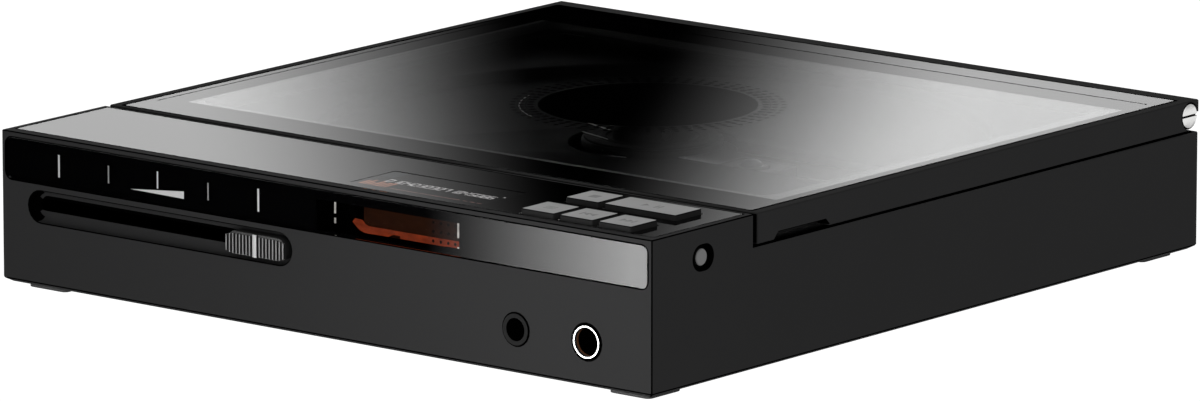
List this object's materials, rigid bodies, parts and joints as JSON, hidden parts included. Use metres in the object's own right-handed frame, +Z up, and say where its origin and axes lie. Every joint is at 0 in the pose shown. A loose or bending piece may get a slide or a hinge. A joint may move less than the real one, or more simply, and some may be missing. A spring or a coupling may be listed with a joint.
{
  "type": "portable cd player",
  "caption": "Portable disc player: flat metal case with a hinged glass lid over the disc well, control keys, a volume slider and headphone jacks.",
  "frame": {"origin": "middle of the case in plan, on the surface that the feet stand on", "axes": "+X to the player's right, +Y to its back (the lid's hinge side), +Z up"},
  "size_m": [0.15, 0.159, 0.0298],
  "materials": {
    "anodised_aluminium": "dark grey bead-blasted anodising",
    "dark_glass": "polished, printed black from behind",
    "display": "dark display glass",
    "key_metal": "light grey matt",
    "black_plastic": "fine matt",
    "white_plastic": "moulded acetal",
    "polished_steel": "polished",
    "sheet_steel": "stamped sheet",
    "gilt_brass": "gilt contact",
    "rubber": "matt",
    "circuit_board": "solder mask",
    "tube_glass": "clear with a warm glow",
    "lens": "coated",
    "battery_foil": "matt laminate"
  },
  "bodies": {
    "base": {"base_housing": "anodised_aluminium", "bottom_cover": "anodised_aluminium", "foot_front_left": "rubber", "foot_front_right": "rubber", "foot_rear_left": "rubber", "foot_rear_right": "rubber", "cover_screw_front_left": "polished_steel", "cover_screw_front_right": "polished_steel", "cover_screw_rear_left": "polished_steel", "cover_screw_rear_right": "polished_steel", "control_panel": "dark_glass", "display_module": "display", "button_board": "circuit_board", "front_window": "dark_glass", "tube_tray": "black_plastic", "tube_front": "tube_glass", "tube_rear": "tube_glass", "volume_fader": "black_plastic", "headphone_jack_35": "black_plastic", "headphone_jack_44": "black_plastic", "jack_trim_ring": "polished_steel", "power_switch": "black_plastic", "deck_plate": "black_plastic", "traverse_chassis": "sheet_steel", "chassis_damper_left": "rubber", "chassis_damper_rear": "rubber", "chassis_damper_right": "rubber", "spindle_motor": "sheet_steel", "sled_motor": "sheet_steel", "guide_rod_front": "polished_steel", "guide_rod_rear": "polished_steel", "main_board": "circuit_board", "battery": "battery_foil", "usb_socket": "polished_steel", "line_out_jack": "black_plastic", "hinge_knuckle_left": "sheet_steel", "hinge_knuckle_right": "sheet_steel", "hinge_screw_left": "polished_steel", "hinge_screw_right": "polished_steel"},
    "lid": {"lid_frame": "anodised_aluminium", "lid_glass": "dark_glass", "glass_retainer": "black_plastic"},
    "turntable": {"turntable_hub": "black_plastic", "hub_ring": "rubber"},
    "sled": {"pickup_sled": "black_plastic", "objective_lens": "lens", "sled_rack": "white_plastic"},
    "drive_gear": {"reduction_gear": "white_plastic"},
    "motor_gear": {"motor_pinion": "white_plastic"},
    "volume": {"volume_knob": "black_plastic", "fader_wiper": "gilt_brass"},
    "key_previous": {"button_previous": "key_metal"},
    "key_play": {"button_play": "key_metal"},
    "key_next": {"button_next": "key_metal"},
    "key_mode": {"button_mode": "key_metal"},
    "key_stop": {"button_stop": "key_metal"},
    "key_power": {"power_button": "key_metal"}
  },
  "joints": [
    {"name": "lid_hinge", "type": "hinge", "parent": "base", "child": "lid", "pos_m": [0, 0.07645, 0.0261], "axis": [-1, 0, 0], "range_deg": [0, 95]},
    {"name": "turntable_spin", "type": "hinge", "parent": "base", "child": "turntable", "pos_m": [0, 0.0139, 0.0215], "axis": [0, 0, 1], "continuous": true},
    {"name": "sled_slide", "type": "slide", "parent": "base", "child": "sled", "axis": [1, 0, 0], "range_m": [0, 0.036]},
    {"name": "drive_gear_turn", "type": "hinge", "parent": "base", "child": "drive_gear", "pos_m": [0.03, -0.0141, 0.0104], "axis": [0, 0, 1], "range_deg": [-520, 0]},
    {"name": "motor_gear_turn", "type": "hinge", "parent": "base", "child": "motor_gear", "pos_m": [0.0164, -0.0141, 0.0104], "axis": [0, 0, 1], "range_deg": [0, 1250]},
    {"name": "volume_slide", "type": "slide", "parent": "base", "child": "volume", "axis": [1, 0, 0], "range_m": [-0.0472, 0]},
    {"name": "previous_press", "type": "slide", "parent": "base", "child": "key_previous", "axis": [0, 0, -1], "range_m": [0, 0.0004], "stiffness_N_per_m": 400},
    {"name": "play_press", "type": "slide", "parent": "base", "child": "key_play", "axis": [0, 0, -1], "range_m": [0, 0.0004], "stiffness_N_per_m": 400},
    {"name": "next_press", "type": "slide", "parent": "base", "child": "key_next", "axis": [0, 0, -1], "range_m": [0, 0.0004], "stiffness_N_per_m": 400},
    {"name": "mode_press", "type": "slide", "parent": "base", "child": "key_mode", "axis": [0, 0, -1], "range_m": [0, 0.0004], "stiffness_N_per_m": 400},
    {"name": "stop_press", "type": "slide", "parent": "base", "child": "key_stop", "axis": [0, 0, -1], "range_m": [0, 0.0004], "stiffness_N_per_m": 400},
    {"name": "power_press", "type": "slide", "parent": "base", "child": "key_power", "axis": [-1, 0, 0], "range_m": [0, 0.0003], "stiffness_N_per_m": 400}
  ],
  "couplings": [
    {"joint": "drive_gear_turn", "follows": "sled_slide", "rad_per_m": -250},
    {"joint": "motor_gear_turn", "follows": "sled_slide", "rad_per_m": 600}
  ]
}
